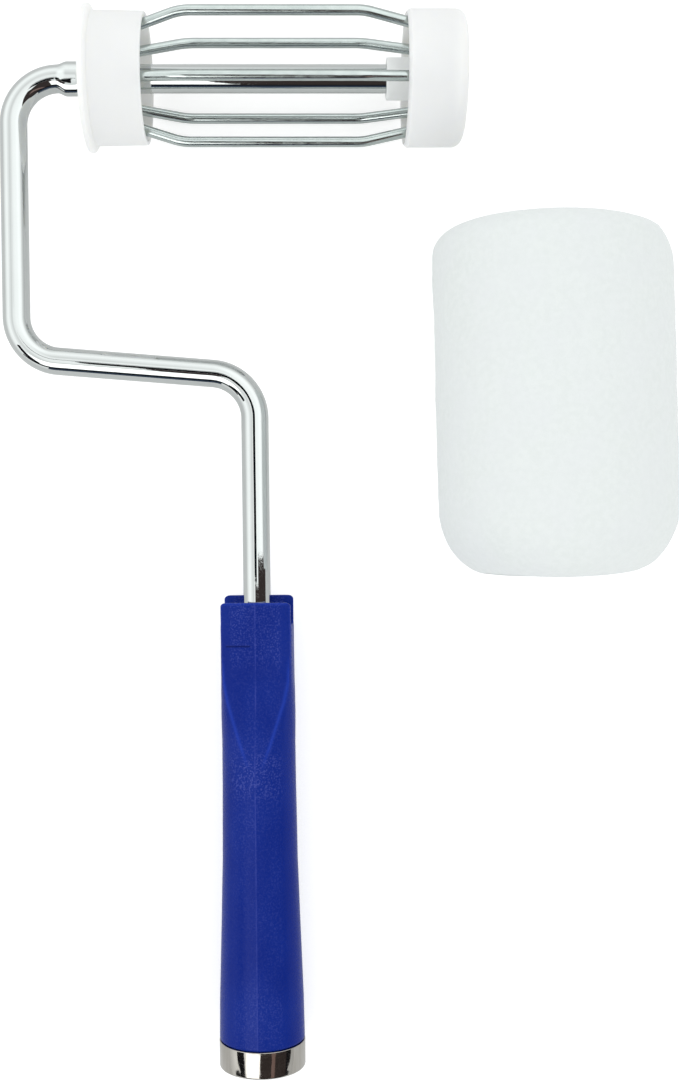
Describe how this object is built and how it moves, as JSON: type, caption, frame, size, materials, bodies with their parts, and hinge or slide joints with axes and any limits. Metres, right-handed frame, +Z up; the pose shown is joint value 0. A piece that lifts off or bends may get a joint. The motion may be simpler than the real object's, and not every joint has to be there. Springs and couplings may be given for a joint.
{
  "type": "paint roller with wire cage frame and removable cover",
  "caption": "Bent-wire paint roller frame with a moulded forked handle and a free-turning spring-wire cage, and its nap roller cover lying beside it.",
  "frame": {"origin": "centre of the bounding box's footprint, on the surface that the roller lies on", "axes": "+X along the axle from the flanged cap to the outer cap, +Y from the handle to the axle, +Z up from the surface"},
  "size_m": [0.1914, 0.3076, 0.0654],
  "materials": {
    "plated_steel": "bright plated steel wire",
    "blue_plastic": "satin moulded polypropylene",
    "polished_band": "polished drawn metal band",
    "spring_steel": "plain spring steel",
    "white_plastic": "white moulded plastic, slightly milky",
    "bush_plastic": "white low-friction plastic",
    "zinc_wire": "bright zinc-plated spring wire",
    "core_plastic": "spiral-wound plastic tube",
    "nap_pile": "knitted off-white pile"
  },
  "bodies": {
    "frame": {"frame_rod": "plated_steel", "handle_grip": "blue_plastic", "handle_end_ferrule": "polished_band", "inner_thrust_washer": "spring_steel", "outer_thrust_washer": "spring_steel", "axle_push_nut": "spring_steel"},
    "cage": {"inner_end_cap": "white_plastic", "outer_end_cap": "white_plastic", "outer_cap_plug": "white_plastic", "inner_bearing_bush": "bush_plastic", "outer_bearing_bush": "bush_plastic", "cage_wire_1": "zinc_wire", "cage_wire_2": "zinc_wire", "cage_wire_3": "zinc_wire", "cage_wire_4": "zinc_wire", "cage_wire_5": "zinc_wire"},
    "cover": {"cover_core": "core_plastic", "nap_sleeve": "nap_pile"}
  },
  "joints": [
    {"name": "cage_spin", "type": "hinge", "parent": "frame", "child": "cage", "pos_m": [-0.02, 0.13335, 0.02045], "axis": [1, 0, 0], "continuous": true},
    {"name": "cover_lift", "type": "slide", "parent": "frame", "child": "cover", "axis": [0, 0, 1], "range_m": [0, 0.12]}
  ]
}
